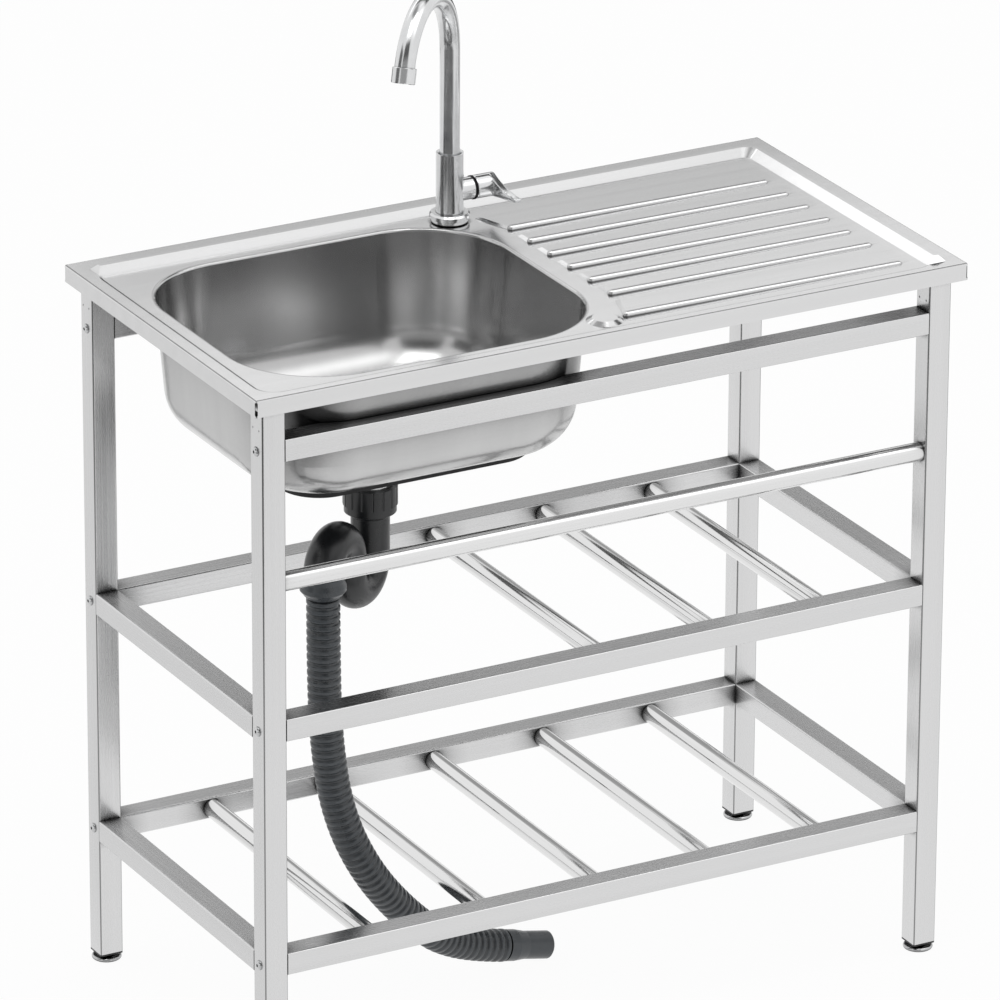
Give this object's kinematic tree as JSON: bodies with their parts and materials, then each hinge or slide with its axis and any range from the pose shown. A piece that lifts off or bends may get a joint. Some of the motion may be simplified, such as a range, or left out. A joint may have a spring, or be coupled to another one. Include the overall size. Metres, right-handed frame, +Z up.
{
  "type": "freestanding utility sink",
  "caption": "Freestanding stainless steel utility sink: pressed worktop with bowl and ribbed drainboard on a tube stand with rod shelves, gooseneck faucet, trap and ribbed drain hose.",
  "frame": {"origin": "on the floor under the middle of the worktop", "axes": "+X to the right along the worktop, +Y to the back, +Z up"},
  "size_m": [0.85, 0.446, 1.0902],
  "materials": {
    "brushed_steel": "fine brushed",
    "chrome": "polished",
    "brass": "turned",
    "black_plastic": "satin moulded",
    "hose_plastic": "satin moulded",
    "black_rubber": "matt"
  },
  "bodies": {
    "stand": {"worktop": "brushed_steel", "bowl": "brushed_steel", "post_front_left": "brushed_steel", "post_front_right": "brushed_steel", "post_rear_left": "brushed_steel", "post_rear_right": "brushed_steel", "apron_rail_front": "brushed_steel", "apron_rail_rear": "brushed_steel", "upper_rail_front": "brushed_steel", "upper_rail_rear": "brushed_steel", "lower_rail_front": "brushed_steel", "lower_rail_rear": "brushed_steel", "upper_rail_left": "brushed_steel", "upper_rail_right": "brushed_steel", "lower_rail_left": "brushed_steel", "lower_rail_right": "brushed_steel", "upper_rod_1": "brushed_steel", "upper_rod_2": "brushed_steel", "upper_rod_3": "brushed_steel", "lower_rod_1": "brushed_steel", "lower_rod_2": "brushed_steel", "lower_rod_3": "brushed_steel", "lower_rod_4": "brushed_steel", "lower_rod_5": "brushed_steel", "towel_bar": "brushed_steel", "corner_sockets": "brushed_steel", "rail_inserts": "brushed_steel", "drain_body": "brushed_steel", "drain_locknut": "brushed_steel", "frame_bolts": "chrome", "faucet_body": "chrome", "faucet_shank": "brass", "faucet_locknut": "brass", "leg_plugs": "black_plastic", "coupling_nut": "black_plastic", "trap_pipe": "black_plastic", "drain_hose": "hose_plastic", "hose_cuff": "hose_plastic", "hose_end_cuff": "hose_plastic", "sound_pad": "black_rubber", "drain_seal": "black_rubber", "trap_seal": "black_rubber", "faucet_gasket": "black_rubber", "faucet_washer": "black_rubber", "stem_ring": "black_rubber"},
    "spout": {"spout": "chrome", "spout_sleeve": "black_plastic", "aerator": "chrome", "aerator_insert": "black_plastic"},
    "handle": {"handle": "chrome", "valve_spindle": "brass", "handle_screw": "brass"},
    "strainer_basket": {"strainer_basket": "brushed_steel"},
    "foot_front_left": {"foot_front_left": "chrome"},
    "foot_front_right": {"foot_front_right": "chrome"},
    "foot_rear_left": {"foot_rear_left": "chrome"},
    "foot_rear_right": {"foot_rear_right": "chrome"}
  },
  "joints": [
    {"name": "spout_swivel", "type": "hinge", "parent": "stand", "child": "spout", "pos_m": [-0.0003, 0.1497, 0.871], "axis": [0, 0, 1], "continuous": true},
    {"name": "handle_lift", "type": "hinge", "parent": "stand", "child": "handle", "pos_m": [0.0297, 0.1497, 0.839], "axis": [-1, 0, 0], "range_deg": [0, 90]},
    {"name": "basket_lift", "type": "slide", "parent": "stand", "child": "strainer_basket", "axis": [0, 0, 1], "range_m": [0, 0.2]},
    {"name": "foot_front_left_level", "type": "slide", "parent": "stand", "child": "foot_front_left", "axis": [0, 0, -1], "range_m": [0, 0.015]},
    {"name": "foot_front_right_level", "type": "slide", "parent": "stand", "child": "foot_front_right", "axis": [0, 0, -1], "range_m": [0, 0.015]},
    {"name": "foot_rear_left_level", "type": "slide", "parent": "stand", "child": "foot_rear_left", "axis": [0, 0, -1], "range_m": [0, 0.015]},
    {"name": "foot_rear_right_level", "type": "slide", "parent": "stand", "child": "foot_rear_right", "axis": [0, 0, -1], "range_m": [0, 0.015]}
  ]
}
